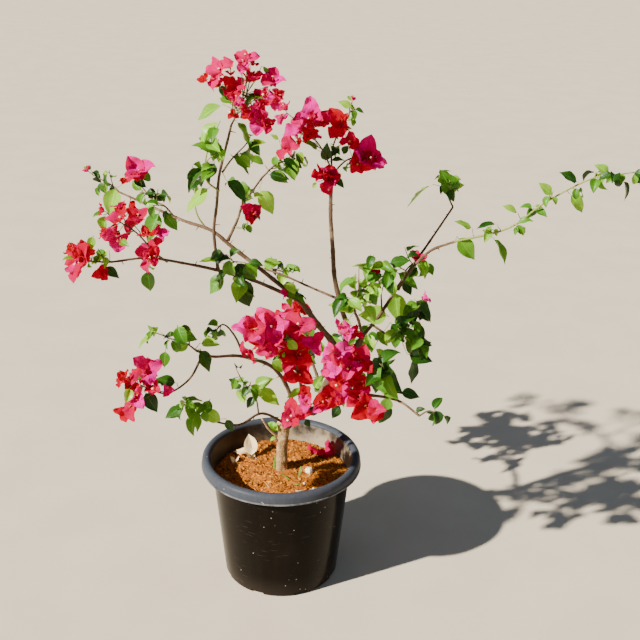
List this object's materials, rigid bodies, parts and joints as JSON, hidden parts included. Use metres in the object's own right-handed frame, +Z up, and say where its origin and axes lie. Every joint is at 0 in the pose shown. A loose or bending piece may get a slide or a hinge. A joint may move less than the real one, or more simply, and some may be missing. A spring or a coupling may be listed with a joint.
{
  "type": "bougainvillea bush",
  "caption": "Young bougainvillea in a rolled-rim plastic nursery pot: a short trunk that forks low into arching boughs with sparse leaves and papery magenta bracts in clusters.",
  "frame": {"origin": "centre of the pot's flat underside", "axes": "+Z up, +X to the right of the front view, +Y away from the front"},
  "size_m": [0.9964, 0.6047, 1.007],
  "materials": {
    "pot": "satin moulded plastic, fine scuffs",
    "soil": "coarse crumbs of coconut fibre",
    "bark": "tan-grey bark",
    "foliage": "soft satin leaf",
    "blossom": "papery bract"
  },
  "bodies": {
    "root": {"pot": "pot", "soil": "soil", "trunk": "bark", "main_stem": "bark", "upright_stem": "bark", "diagonal_bough": "bark", "upper_left_bough": "bark", "lower_left_arm": "bark", "upright_left_stem": "bark", "centre_arm": "bark", "cross_twig": "bark", "right_bough": "bark", "high_right_bough": "bark", "long_shoot": "bark", "low_right_bough": "bark", "low_left_bough": "bark", "foot_twig": "bark", "back_bough": "bark", "top_blossom": "blossom", "top_foliage": "foliage", "top_side_foliage": "foliage", "middle_blossom_left": "blossom", "middle_blossom_right": "blossom", "middle_foliage": "foliage", "middle_blossom_low": "blossom", "centre_top_foliage": "foliage", "centre_mid_foliage": "foliage", "centre_single_blossom": "blossom", "young_shoot": "foliage", "left_high_foliage": "foliage", "left_far_foliage": "foliage", "left_blossom": "blossom", "left_tip_blossom": "blossom", "left_inner_foliage": "foliage", "left_hanging_foliage": "foliage", "centre_foliage": "foliage", "fork_foliage": "foliage", "low_left_foliage": "foliage", "arch_foliage": "foliage", "low_left_blossom": "blossom", "low_foot_foliage": "foliage", "low_mid_foliage": "foliage", "front_blossom_left": "blossom", "front_blossom_right": "blossom", "front_blossom_outer": "blossom", "front_blossom_low": "blossom", "right_inner_foliage": "foliage", "right_mid_foliage": "foliage", "right_top_foliage": "foliage", "right_outer_foliage": "foliage", "right_low_foliage": "foliage", "low_right_tip_foliage": "foliage", "high_right_foliage": "foliage", "long_shoot_foliage": "foliage", "back_blossom": "blossom", "back_foliage": "foliage"}
  },
  "joints": []
}
